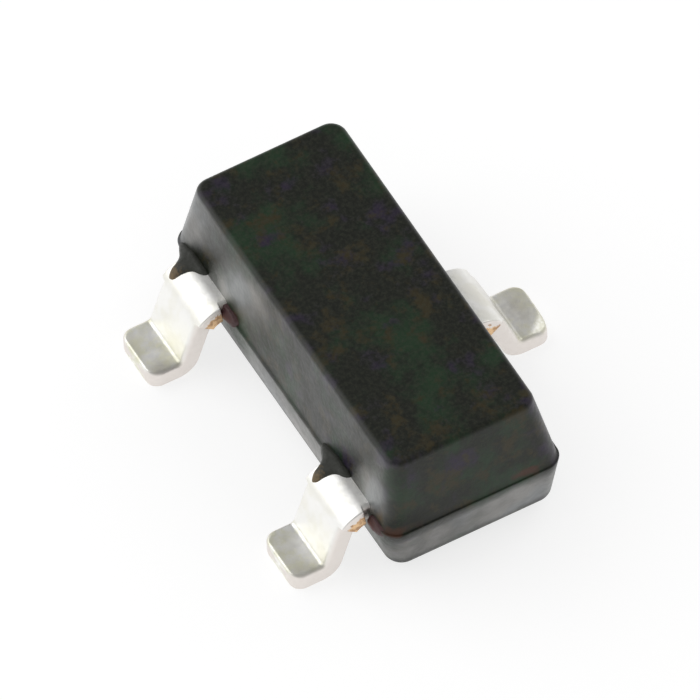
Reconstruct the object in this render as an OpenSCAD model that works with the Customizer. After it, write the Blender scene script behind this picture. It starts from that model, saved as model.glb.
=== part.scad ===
// A double switching diode in a small three-lead moulded package, lying as it sits on a board.
// Two silicon chips stand on the cathode lead's pad, and a gold wire joins each to its own anode lead.
// Millimetres. X runs along the body, +Y points to the single cathode lead, and Z is up from the board.

/* [Moulded body] */
// Length of the body's lower half at the parting line
body_l = 2.90; // [2.80:0.01:3.04]
// Width of the body's lower half at the parting line
body_w = 1.30; // [1.20:0.01:1.40]
// Height of the top face above the board
top_z = 1.05; // [0.98:0.01:1.12]
// Gap between the board and the underside of the body
standoff = 0.07; // [0.02:0.01:0.10]
// How far the upper half stands in from the lower half at the parting line
parting_step = 0.015; // [0.005:0.005:0.020]
// Draft of the upper half's walls, in degrees
upper_draft = 10; // [6:1:14]
// Draft of the lower half's walls, in degrees
lower_draft = 8; // [3:1:9]
// Radius of the rim round the top face
top_rim_r = 0.07; // [0.03:0.01:0.08]
// Radius of the rim round the underside
under_rim_r = 0.09; // [0.05:0.01:0.10]
// Radius of the four upright corners
corner_r = 0.13; // [0.11:0.01:0.18]

/* [Leads] */
// Thickness of the metal strip that the leads are stamped from
strip_t = 0.13; // [0.09:0.01:0.15]
// Height of the parting line, and of the middle of the strip that lies in it
parting_z = 0.48; // [0.44:0.01:0.52]
// Width of each lead outside the body
lead_w = 0.44; // [0.37:0.01:0.50]
// Distance between the two anode leads
pitch = 1.90; // [1.80:0.01:2.00]
// Distance from toe to toe across the part
span = 2.40; // [2.30:0.01:2.50]
// Slope of the leads' falling stretch, in degrees from the board
fall = 70; // [66:1:84]
// Inside radius of the knee, the bend down from the body
knee_r = 0.10; // [0.06:0.01:0.11]
// Inside radius of the heel, the bend out to the foot
heel_r = 0.03; // [0.02:0.01:0.06]
// Length of the foot's flat sole, from the heel's bend to the toe
sole_l = 0.20; // [0.15:0.01:0.22]
// Radius of the toe's corners, seen from above
toe_r = 0.09; // [0.02:0.01:0.12]

/* [Cut tie bar] */
// How far each cut end of the tie bar stands out from the lead's side
stub_out = 0.03; // [0.02:0.01:0.07]
// Width of the tie bar that was cut away
stub_w = 0.12; // [0.06:0.01:0.14]
// Gap between the body and the cut tie bar
stub_gap = 0.03; // [0.01:0.01:0.05]

/* [Resin flash beside the anode leads] */
// How far the flash stands out from the body
flash_out = 0.16; // [0.08:0.01:0.18]
// How far it runs along the body from the lead's side
flash_run = 0.10; // [0.06:0.01:0.16]
// How far it laps over the top of the lead
flash_lap = 0.10; // [0.08:0.01:0.14]
// Thickness of the film where it laps over the lead
flash_film = 0.015; // [0.010:0.005:0.020]

/* [Metal inside the body] */
// Least resin between the pad or the posts and the body's long sides
cover = 0.14; // [0.10:0.01:0.20]
// Length of the pad that carries both chips
pad_l = 1.55; // [1.40:0.01:1.70]
// Width of the pad that carries both chips
pad_w = 0.52; // [0.44:0.01:0.56]
// Length of each anode lead's wire post
post_l = 0.72; // [0.60:0.01:0.80]
// Width of each anode lead's wire post
post_w = 0.26; // [0.20:0.01:0.28]
// How far each post is set inwards from its lead's centre line
post_in = 0.10; // [0.04:0.01:0.14]

/* [Chips and wires] */
// Side of each square chip
chip_side = 0.30; // [0.22:0.01:0.34]
// Thickness of each chip
chip_t = 0.14; // [0.10:0.01:0.16]
// Distance between the two chips' centres
chip_pitch = 0.90; // [0.70:0.01:0.96]
// Diameter of the metal contact on each chip
contact_d = 0.15; // [0.12:0.01:0.18]
// Thickness of the metal contact on each chip
contact_t = 0.006; // [0.004:0.001:0.010]
// Thickness of the solder under each chip
solder_t = 0.02; // [0.010:0.005:0.030]
// How far the solder spreads beyond the chip, all round
solder_out = 0.02; // [0.010:0.005:0.030]
// Diameter of the gold wires
wire_d = 0.025; // [0.020:0.001:0.030]
// Height of each wire's loop above its ball
loop_h = 0.12; // [0.08:0.01:0.16]

/* [Hidden] */

strip_top = parting_z + strip_t / 2;
strip_under = parting_z - strip_t / 2;
knee_outer_r = knee_r + strip_t;
heel_outer_r = heel_r + strip_t;

// Between the knee and the heel, the falling stretch makes up the drop that the two bends leave over
bends_r = knee_r + heel_outer_r;
fall_l = (strip_under - bends_r * (1 - cos(fall))) / sin(fall);
heel_centre = [span / 2 - sole_l, heel_outer_r];
knee_centre = [
    heel_centre[0] - bends_r * sin(fall) - fall_l * cos(fall),
    strip_under - knee_r
];
heel_turn = [270 - fall, 270];
knee_turn = [90 - fall, 90];

pad_y = body_w / 2 - cover - pad_w / 2;
post_y = -body_w / 2 + cover + post_w / 2;
post_x = pitch / 2 - post_in;
chip_z = strip_top + solder_t;
contact_z = chip_z + chip_t + contact_t;

// The wire's ball and the flat tail pressed on to the post, from the wire's own diameter
ball_r = 1.4 * wire_d;
ball_h = 0.7 * wire_d;
tail_l = 2.2 * wire_d;
tail_half_w = 1.1 * wire_d;
tail_half_h = 0.25 * wire_d;
wire_sides = 12;
loop_steps = 20;

// One side to a degree, so that the straight stretches meet a bend's circles at their corners
bend_sides = 360;
round_sides = 48;
corner_steps = 8;
rim_steps = 5;

// How deep the flash is rooted in the body, and the round of its tip
flash_root = 0.10;
flash_tip_r = 0.04;

// Points on an arc, both ends included
function arc(centre, r, from, to, steps) = [
    for (i = [0:steps])
        let (a = from + (to - from) * i / steps)
        centre + r * [cos(a), sin(a)]
];

// A level outline of the body: a rectangle with round corners, all round by the inset smaller
function outline(inset, rim_inset, z) =
    let (r = corner_r - rim_inset)
    [
        for (corner = [[1, 1], [-1, 1], [-1, -1], [1, -1]])
            let (
                centre = [
                    corner[0] * (body_l / 2 - inset - r),
                    corner[1] * (body_w / 2 - inset - r)
                ],
                from = corner[1] > 0 ? 45 - 45 * corner[0] : 225 + 45 * corner[0]
            )
            for (p = arc(centre, r, from, from + 90, corner_steps))
                [p[0], p[1], z]
    ];

// Half of the body's section from the parting line to its flat face, as [inset, rim inset, height].
// The rim's arc runs on from the drafted wall and into the face without a corner.
function half_section(h, draft, rim_r) =
    let (
        centre = [-(h - rim_r) * tan(draft) - rim_r / cos(draft), h - rim_r],
        wall_inset = (h - rim_r + rim_r * sin(draft)) * tan(draft)
    )
    [
        for (p = arc(centre, rim_r, draft, 90, rim_steps))
            [-p[0], -p[0] - wall_inset, p[1]]
    ];

// A closed skin over ring after ring of points, with a flat cap at each end
module loft(rings) {
    count = len(rings[0]);
    last = (len(rings) - 1) * count;
    polyhedron(
        points = [for (ring = rings, p = ring) p],
        faces = concat(
            [[for (i = [0:count - 1]) i]],
            [
                for (k = [0:len(rings) - 2], i = [0:count - 1])
                    let (j = (i + 1) % count)
                    [k * count + i, (k + 1) * count + i, (k + 1) * count + j, k * count + j]
            ],
            [[for (i = [count - 1:-1:0]) last + i]]
        )
    );
}

// The body's outer form: two drafted halves on one parting line, with round rims and corners
module body_form() {
    lower = half_section(parting_z - standoff, lower_draft, under_rim_r);
    upper = half_section(top_z - parting_z, upper_draft, top_rim_r);
    loft(concat(
        [for (i = [rim_steps:-1:0]) outline(lower[i][0], lower[i][1], parting_z - lower[i][2])],
        [outline(0, 0, parting_z), outline(parting_step, parting_step, parting_z)],
        [for (s = upper) outline(parting_step + s[0], parting_step + s[1], parting_z + s[2])]
    ));
}

// Resin that leaked past the tool along the -X side of an anode lead and dried on the lead's shoulder
module resin_flash(side) {
    tip = arc([flash_lap - flash_tip_r, flash_out - flash_tip_r], flash_tip_r, 0, 130, corner_steps);
    translate([side * pitch / 2 - lead_w / 2, -body_w / 2, strip_under])
        mirror([0, 1, 0])
            linear_extrude(strip_t + flash_film)
                polygon(concat(
                    [[flash_lap, -flash_root]],
                    tip,
                    [[-flash_run, 0], [-flash_run, -flash_root]]
                ));
}

// A wedge from a bend's centre, over the angles through which the bend turns
module bend_slice(centre, reach, turn) {
    polygon(concat([centre], arc(centre, reach, turn[0], turn[1], 2)));
}

// Where the straight stretches on both sides of a bend would meet, if they weren't rounded to this radius
function sharp_corner(centre, r, turn) =
    let (half_turn = (turn[1] - turn[0]) / 2)
    centre + r / cos(half_turn) * [cos(turn[0] + half_turn), sin(turn[0] + half_turn)];

// Rounds a bend of the strip: takes off its outer corner and fills its inner one
module rounded_bend(centre, inner_r, turn) {
    difference() {
        children();
        difference() {
            bend_slice(centre, 2 * (inner_r + strip_t), turn);
            translate(centre)
                circle(inner_r + strip_t, $fn = bend_sides);
        }
    }
    difference() {
        bend_slice(centre, inner_r + strip_t / 2, turn);
        translate(centre)
            circle(inner_r, $fn = bend_sides);
    }
}

// A formed lead from the side: flat shoulder, knee, falling stretch, heel and foot
module lead_section(from) {
    rounded_bend(knee_centre, knee_r, knee_turn)
        rounded_bend(heel_centre, heel_r, heel_turn)
            polygon([
                [from, strip_top],
                sharp_corner(knee_centre, knee_outer_r, knee_turn),
                sharp_corner(heel_centre, heel_r, heel_turn),
                [span / 2, strip_t],
                [span / 2, 0],
                sharp_corner(heel_centre, heel_outer_r, heel_turn),
                sharp_corner(knee_centre, knee_r, knee_turn),
                [from, strip_under]
            ]);
}

// Gives a side view its width, with the view's first axis along +Y
module across(width) {
    rotate([90, 0, 90])
        linear_extrude(width, center = true)
            children();
}

// A lead from above: straight sides, and round corners at the toe
module lead_plan(from) {
    translate([-lead_w / 2, from])
        square([lead_w, span / 2 - toe_r - from]);
    translate([toe_r - lead_w / 2, from])
        square([lead_w - 2 * toe_r, span / 2 - from]);
    for (side = [-1, 1])
        translate([side * (lead_w / 2 - toe_r), span / 2 - toe_r])
            circle(toe_r, $fn = round_sides);
}

// A lead that points along +Y, with the cut ends of the tie bar on both sides of its shoulder
module formed_lead(from) {
    intersection() {
        across(lead_w)
            lead_section(from);
        linear_extrude(strip_top)
            lead_plan(from);
    }
    across(lead_w + 2 * stub_out)
        intersection() {
            lead_section(from);
            translate([body_w / 2 + stub_gap, 0])
                square([stub_w, strip_top]);
        }
}

// A flat plate of the strip inside the body
module plate(centre, size) {
    translate([centre[0] - size[0] / 2, centre[1] - size[1] / 2, strip_under])
        cube([size[0], size[1], strip_t]);
}

// The side is -1 for lead 1 and 1 for lead 2, at the two ends of the body
module anode_lead(side) {
    color("gainsboro") {
        translate([side * pitch / 2, 0, 0])
            mirror([0, 1, 0])
                formed_lead(-post_y);
        plate([side * post_x, post_y], [post_l, post_w]);
    }
}

module cathode_lead() {
    color("gainsboro") {
        formed_lead(pad_y);
        plate([0, pad_y], [pad_l, pad_w]);
    }
}

module diode_chip(side) {
    color("dimgray")
        translate([side * chip_pitch / 2, pad_y, chip_z]) {
            translate([-chip_side / 2, -chip_side / 2, 0])
                cube([chip_side, chip_side, chip_t]);
            translate([0, 0, chip_t])
                cylinder(d = contact_d, h = contact_t, $fn = round_sides);
        }
}

module chip_solder(side) {
    wide = chip_side + 2 * solder_out;
    color("silver")
        translate([side * chip_pitch / 2 - wide / 2, pad_y - wide / 2, strip_top])
            cube([wide, wide, solder_t]);
}

// A point on a wire's loop, [distance from the ball, height]: a cubic curve that rises straight
// from the ball, arches over and comes down on to the post
function loop_point(t, reach, z0, z1) = [
    reach * (1.35 * (1 - t) * t ^ 2 + t ^ 3),
    (1 - t) ^ 3 * z0
        + 3 * (1 - t) ^ 2 * t * (z0 + 1.9 * loop_h)
        + 3 * (1 - t) * t ^ 2 * (z0 + loop_h)
        + t ^ 3 * z1
];

function loop_slope(t, reach, z0, z1) =
    let (d = 0.001)
    loop_point(t + d, reach, z0, z1) - loop_point(t - d, reach, z0, z1);

// One ring round a wire, square to its way: x runs towards the post, y across, and z up
function wire_ring(centre, way, half_w, half_h) =
    let (out = [-way[1], way[0]] / norm(way))
    [
        for (i = [0:wire_sides - 1])
            let (a = 360 * (i + 0.5) / wire_sides)
            [
                centre[0] + half_h * sin(a) * out[0],
                half_w * cos(a),
                centre[1] + half_h * sin(a) * out[1]
            ]
    ];

// A gold wire, with its ball on the chip's contact and its flattened tail on the lead's post
module bond_wire(side) {
    start = [side * chip_pitch / 2, pad_y];
    way = [side * post_x, post_y] - start;
    reach = norm(way) - tail_l / 2;
    neck_z = contact_z + ball_h;
    tail_z = strip_top + tail_half_h * cos(180 / wire_sides);
    rising = [0, 1];
    level = [1, 0];
    color("gold")
        translate([start[0], start[1], 0])
            rotate([0, 0, atan2(way[1], way[0])])
                loft(concat(
                    [
                        wire_ring([0, contact_z], rising, ball_r, ball_r),
                        wire_ring([0, neck_z], rising, ball_r, ball_r),
                        wire_ring([0, neck_z + ball_h / 4], rising, wire_d / 2, wire_d / 2)
                    ],
                    [
                        for (i = [1:loop_steps - 1])
                            let (t = i / loop_steps)
                            wire_ring(
                                loop_point(t, reach, neck_z, tail_z),
                                loop_slope(t, reach, neck_z, tail_z),
                                wire_d / 2,
                                wire_d / 2
                            )
                    ],
                    [
                        wire_ring([reach, tail_z], level, tail_half_w, tail_half_h),
                        wire_ring([reach + tail_l, tail_z], level, tail_half_w, tail_half_h)
                    ]
                ));
}

// The resin flows round everything inside, so the body holds the exact form of each piece
module moulded_body() {
    color([0.13, 0.13, 0.12])
        difference() {
            union() {
                body_form();
                for (side = [-1, 1])
                    resin_flash(side);
            }
            cathode_lead();
            for (side = [-1, 1]) {
                anode_lead(side);
                chip_solder(side);
                diode_chip(side);
                bond_wire(side);
            }
        }
}

moulded_body();
anode_lead(-1);  // anode_lead_1
anode_lead(1);  // anode_lead_2
cathode_lead();
diode_chip(-1);  // diode_chip_1
diode_chip(1);  // diode_chip_2
chip_solder(-1);  // chip_solder_1
chip_solder(1);  // chip_solder_2
bond_wire(-1);  // bond_wire_1
bond_wire(1);  // bond_wire_2
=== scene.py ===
"""Dresses a small surface-mount switching diode for its portrait.

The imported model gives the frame. The black moulded body and the three bent leads are made again as
finer surfaces. The chips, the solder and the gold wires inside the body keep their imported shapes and
get better finishes. Lengths are in metres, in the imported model's own frame: X along the body, +Y
towards the single cathode lead, and Z up from the board.
"""
import logging
import math
from dataclasses import dataclass, field
from enum import Enum

import bpy
import numpy as np
from mathutils import Matrix, Vector


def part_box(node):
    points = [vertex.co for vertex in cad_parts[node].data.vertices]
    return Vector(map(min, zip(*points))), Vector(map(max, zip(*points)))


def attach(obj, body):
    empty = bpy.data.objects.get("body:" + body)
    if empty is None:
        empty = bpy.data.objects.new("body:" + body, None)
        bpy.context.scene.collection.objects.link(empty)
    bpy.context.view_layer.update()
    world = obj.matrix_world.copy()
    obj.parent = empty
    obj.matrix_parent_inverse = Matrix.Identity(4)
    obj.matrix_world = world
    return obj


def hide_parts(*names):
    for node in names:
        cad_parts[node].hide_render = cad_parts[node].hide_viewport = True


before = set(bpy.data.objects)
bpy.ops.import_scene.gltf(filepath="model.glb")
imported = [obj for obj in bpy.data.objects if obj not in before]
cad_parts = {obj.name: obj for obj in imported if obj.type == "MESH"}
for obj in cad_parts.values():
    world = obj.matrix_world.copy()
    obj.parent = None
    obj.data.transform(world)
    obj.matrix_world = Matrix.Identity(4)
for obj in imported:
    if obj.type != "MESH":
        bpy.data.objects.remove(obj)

log = logging.getLogger("diode")

MM = 0.001
PICTURE_SIDE_PX = 700

# A length too short to see, which tells two places apart
HAIR = 1e-6 * MM

# Sizes that pieces share: the body's width, an anode lead's place along it, and the leads' width
BODY_WIDTH = 1.30 * MM
ANODE_X = 0.95 * MM
LEAD_WIDTH = 0.44 * MM

# Ranges that hold most of a noise's values, and nearly all of them
NOISE_CORE = (0.35, 0.65)
NOISE_REACH = (0.3, 0.7)

# Two numbers that belong together, an X, Y and Z, and a red, green and blue
Pair = tuple[float, float]
Place = tuple[float, float, float]
Colour = tuple[float, float, float]

# What a node takes for a number, and for a colour
Number = bpy.types.NodeSocket | float
Tone = bpy.types.NodeSocket | Colour


class Side(Enum):
    """The end of the body that an anode lead stands at."""

    FAR = -1
    NEAR = 1


@dataclass
class Skin:
    """One closed skin, made of rings of points with a pole at each end.

    Attributes:
        rings: Points, shaped (rows, columns, 3). Each row is a closed ring.
        values: Numbers kept on the points, each array shaped (rows, columns), by name.
        finish: Index of the piece's finish that the skin wears.
    """

    rings: np.ndarray
    values: dict[str, np.ndarray] = field(default_factory=dict)
    finish: int = 0

    def points(self) -> np.ndarray:
        """Returns the rings' points, and then the two poles, each the mean of its end ring."""
        poles = self.rings[[0, -1]].mean(axis=1)
        return np.vstack([self.rings.reshape(-1, 3), poles])

    def corners(self) -> tuple[np.ndarray, np.ndarray]:
        """Works out which points each face joins, with the faces turned outwards.

        A quad joins (row, column), (row, column + 1), (row + 1, column + 1) and (row + 1, column),
        with the last column joined to the first. The volume is the sum over triangles of
        a . (b x c) / 6, and a negative one turns every face round.

        Returns:
            The quads, shaped (n, 4), and the poles' triangles, shaped (m, 3).
        """
        rows, columns = self.rings.shape[:2]
        index = np.arange(rows * columns).reshape(rows, columns)
        beside = np.roll(index, -1, axis=1)
        quads = np.stack([index[:-1], beside[:-1], beside[1:], index[1:]], axis=-1).reshape(-1, 4)
        first = np.full(columns, rows * columns)
        triangles = np.vstack([
            np.stack([first, beside[0], index[0]], axis=-1),
            np.stack([first + 1, index[-1], beside[-1]], axis=-1),
        ])
        halves = np.vstack([quads[:, [0, 1, 2]], quads[:, [0, 2, 3]], triangles])
        a, b, c = self.points()[halves].transpose(1, 0, 2)
        if np.einsum("ij,ij->", a, np.cross(b, c)) < 0:
            return quads[:, ::-1], triangles[:, ::-1]
        return quads, triangles


@dataclass
class Piece:
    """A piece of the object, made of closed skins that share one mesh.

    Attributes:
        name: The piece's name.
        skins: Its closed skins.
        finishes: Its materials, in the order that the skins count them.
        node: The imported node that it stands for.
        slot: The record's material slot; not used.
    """

    name: str
    skins: list[Skin]
    finishes: list[bpy.types.Material]
    node: str
    slot: str

    def build(self) -> bpy.types.Object:
        """Makes the mesh and its object, and gives them to the frame.

        Returns:
            The new object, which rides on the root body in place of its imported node.
        """
        parts = [skin.corners() for skin in self.skins]
        counts = np.array([len(skin.points()) for skin in self.skins])
        offsets = np.concatenate([[0], np.cumsum(counts)[:-1]])
        quads = np.vstack([part[0] + start for part, start in zip(parts, offsets)])
        triangles = np.vstack([part[1] + start for part, start in zip(parts, offsets)])
        finish = [
            np.concatenate([np.full(len(part[kind]), skin.finish) for part, skin in zip(parts, self.skins)])
            for kind in (0, 1)
        ]
        mesh = bpy.data.meshes.new(self.name)
        mesh.vertices.add(int(counts.sum()))
        mesh.vertices.foreach_set("co", np.vstack([skin.points() for skin in self.skins]).ravel())
        mesh.loops.add(quads.size + triangles.size)
        mesh.loops.foreach_set("vertex_index", np.concatenate([quads.ravel(), triangles.ravel()]))
        mesh.polygons.add(len(quads) + len(triangles))
        starts = [np.arange(len(quads)) * 4, quads.size + np.arange(len(triangles)) * 3]
        mesh.polygons.foreach_set("loop_start", np.concatenate(starts))
        mesh.polygons.foreach_set("material_index", np.concatenate(finish))
        mesh.update(calc_edges=True)
        mesh.validate()
        mesh.shade_smooth()
        self._keep_values(mesh)
        for material in self.finishes:
            mesh.materials.append(material)
        piece = bpy.data.objects.new(self.name, mesh)
        bpy.context.scene.collection.objects.link(piece)
        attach(piece, "root")
        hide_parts(self.node)
        log.info("%s: %d faces in %d skins", self.name, len(mesh.polygons), len(self.skins))
        return piece

    def _keep_values(self, mesh: bpy.types.Mesh) -> None:
        """Puts the skins' numbers on the mesh's points, with zero at the poles and where there is none.

        Args:
            mesh: The piece's mesh.
        """
        for name in sorted({name for skin in self.skins for name in skin.values}):
            numbers = [
                np.concatenate([
                    skin.values.get(name, np.zeros(skin.rings.shape[:2])).ravel(),
                    np.zeros(2),
                ])
                for skin in self.skins
            ]
            layer = mesh.attributes.new(name, "FLOAT", "POINT")
            layer.data.foreach_set("value", np.concatenate(numbers).astype(np.float32))


def arc(centre: Pair, radius: float, start: float, end: float, steps: int) -> np.ndarray:
    """Points centre + radius (cos a, sin a), with a from start to end, in degrees and even steps."""
    a = np.radians(np.linspace(start, end, steps + 1))
    return np.stack([centre[0] + radius * np.cos(a), centre[1] + radius * np.sin(a)], axis=-1)


def wander(count: int, waves: int, seed: int) -> np.ndarray:
    """A closed, smooth and irregular line: the sum of sin(k x + phase_k) / sqrt(k), with k from 1 to
    waves, divided by its largest value.

    Args:
        count: How many points it has.
        waves: The most waves that fit in it.
        seed: The seed of its phases.

    Returns:
        Numbers from -1 to 1, shaped (count,).
    """
    k = np.arange(1, waves + 1)[:, None]
    phase = np.random.default_rng(seed).uniform(0, 2 * np.pi, (waves, 1))
    line = (np.sin(k * np.linspace(0, 2 * np.pi, count, endpoint=False) + phase) / np.sqrt(k)).sum(axis=0)
    return line / np.abs(line).max()


def ramp(way: np.ndarray, start: float, end: float, lip: float) -> np.ndarray:
    """1 between start and end, 0 outside them, and a straight ramp of length lip at each."""
    return np.clip((way - start) / lip + 0.5, 0, 1) * np.clip((end - way) / lip + 0.5, 0, 1)


def round_off(distance: np.ndarray, radius: float) -> np.ndarray:
    """How far a round corner stands in at a distance d from its end: r - sqrt(r^2 - (r - d)^2)."""
    over = np.clip(radius - distance, 0, radius)
    return radius - np.sqrt(np.maximum(radius ** 2 - over ** 2, 0))


def round_rectangle(corner_steps: int, side_points: tuple[int, int]) -> np.ndarray:
    """Walks once round a rectangle with round corners.

    A point is (fx (L/2 - r) + r ux, fy (W/2 - r) + r uy): on a corner fx and fy are +1 or -1 and
    (ux, uy) turns with the corner, and on a side one of fx and fy runs from the one corner's sign
    to the next corner's.

    Args:
        corner_steps: Steps round each corner.
        side_points: Points between two corners, on the sides along x and on those along y.

    Returns:
        fx, fy, ux and uy, shaped (4, columns).
    """
    signs = np.array([[1, 1], [-1, 1], [-1, -1], [1, -1]], float)
    walk = []
    for k, sign in enumerate(signs):
        turn = arc((0, 0), 1, 90 * k, 90 * k + 90, corner_steps)
        walk.append(np.column_stack([np.broadcast_to(sign, turn.shape), turn]))
        t = np.linspace(0, 1, side_points[k % 2] + 2)[1:-1, None]
        along = sign + t * (signs[(k + 1) % 4] - sign)
        walk.append(np.column_stack([along, np.broadcast_to(turn[-1], along.shape)]))
    return np.vstack(walk).T


class NodeSketch:
    """A material that is put together from nodes, with a Principled shader at its end."""

    def __init__(self, name: str) -> None:
        """Starts a material with nothing but its shader and its end.

        Args:
            name: The material's name.
        """
        self.material = bpy.data.materials.new(name)
        self.material.use_nodes = True
        self.tree = self.material.node_tree
        self.tree.nodes.clear()
        self.shader = self.add("ShaderNodeBsdfPrincipled")
        self.end = self.add("ShaderNodeOutputMaterial", None, {"Surface": self.shader.outputs["BSDF"]})
        self.place = self.add("ShaderNodeTexCoord").outputs["Object"]

    def add(self, kind: str, settings: dict | None = None, inputs: dict | None = None) -> bpy.types.Node:
        """Adds one node.

        Args:
            kind: The node's type.
            settings: Its properties, by name.
            inputs: Its inputs, by name or index. An output socket is linked, anything else is set.

        Returns:
            The node.
        """
        node = self.tree.nodes.new(kind)
        for name, value in (settings or {}).items():
            setattr(node, name, value)
        self.feed(node, inputs or {})
        return node

    def feed(self, node: bpy.types.Node, inputs: dict) -> None:
        """Links or sets a node's inputs.

        Args:
            node: The node.
            inputs: Its inputs, by name or index.
        """
        for key, value in inputs.items():
            if isinstance(value, bpy.types.NodeSocket):
                self.tree.links.new(value, node.inputs[key])
            else:
                node.inputs[key].default_value = value

    def kept(self, name: str) -> bpy.types.NodeSocket:
        """The number of this name that the mesh keeps on its points."""
        return self.add("ShaderNodeAttribute", {"attribute_name": name}).outputs["Fac"]

    def height(self) -> bpy.types.NodeSocket:
        """The height above the board, in metres."""
        return self.add("ShaderNodeSeparateXYZ", None, {0: self.place}).outputs["Z"]

    def noise(self, size: float, detail: float = 2.0, rough: float = 0.5) -> bpy.types.NodeSocket:
        """Noise about 0.5 in the piece's own coordinates, with its largest grains of this size."""
        inputs = {"Vector": self.place, "Scale": 1 / size, "Detail": detail, "Roughness": rough}
        return self.add("ShaderNodeTexNoise", None, inputs).outputs["Fac"]

    def between(self, value: bpy.types.NodeSocket, low: float, high: float,
                to_low: float = 0.0, to_high: float = 1.0) -> bpy.types.NodeSocket:
        """Stretches a value smoothly from one range to another, and holds it at the ends."""
        inputs = {"Value": value, "From Min": low, "From Max": high, "To Min": to_low, "To Max": to_high}
        return self.add("ShaderNodeMapRange", {"interpolation_type": "SMOOTHSTEP"}, inputs).outputs["Result"]

    def spread(self, noise: bpy.types.NodeSocket, low: float, high: float) -> bpy.types.NodeSocket:
        """Spreads a noise over a range, with most of its values well inside."""
        return self.between(noise, *NOISE_CORE, low, high)

    def ragged(self, value: bpy.types.NodeSocket, noise: bpy.types.NodeSocket,
               reach: float) -> bpy.types.NodeSocket:
        """Makes a value's edges ragged: the noise adds up to this reach to it, or takes it off."""
        return self.maths("ADD", value, self.between(noise, *NOISE_REACH, -reach, reach))

    def maths(self, operation: str, a: Number, b: Number) -> bpy.types.NodeSocket:
        """Works out one operation of a math node on two numbers."""
        return self.add("ShaderNodeMath", {"operation": operation}, {0: a, 1: b}).outputs[0]

    def blend(self, share: bpy.types.NodeSocket, a: Tone, b: Tone) -> bpy.types.NodeSocket:
        """Mixes two colours, by the second one's share."""
        node = self.add("ShaderNodeMix", {"data_type": "RGBA"}, {0: share, 6: colour(a), 7: colour(b)})
        return node.outputs[2]

    def relief(self, height: bpy.types.NodeSocket, depth: float,
               under: bpy.types.NodeSocket | None = None) -> bpy.types.NodeSocket:
        """Turns a height into a normal.

        Args:
            height: The height, from 0 to 1.
            depth: How deep a height of 1 is, in metres.
            under: The normal of a coarser relief under it.

        Returns:
            The normal.
        """
        inputs = {"Height": height, "Distance": depth, "Strength": 1.0}
        if under is not None:
            inputs["Normal"] = under
        return self.add("ShaderNodeBump", None, inputs).outputs["Normal"]

    def grained(self, coarse: bpy.types.NodeSocket, fine: bpy.types.NodeSocket,
                depth: float) -> bpy.types.NodeSocket:
        """Turns a fine height of this depth, on a coarse one twice as deep, into a normal."""
        return self.relief(fine, depth, self.relief(coarse, depth * 2))

    def finish(self, inputs: dict) -> bpy.types.Material:
        """Feeds the shader its inputs, and gives the finished material."""
        self.feed(self.shader, inputs)
        return self.material


def colour(value: Tone) -> bpy.types.NodeSocket | tuple[float, ...]:
    """Gives a colour of three numbers its alpha, and leaves a socket as it is."""
    return value if isinstance(value, bpy.types.NodeSocket) else (*value, 1.0)


@dataclass(frozen=True)
class Cloud:
    """A tint that a finish takes in soft clouds.

    Attributes:
        tint: Its colour.
        size: The size of the clouds.
        rise: The noise's values at which a cloud starts and is full.
    """

    tint: Colour
    size: float
    rise: Pair

    def share(self, sketch: NodeSketch) -> bpy.types.NodeSocket:
        """How much of the tint there is at each place."""
        return sketch.between(sketch.noise(self.size, 5.0, 0.65), *self.rise)


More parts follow.
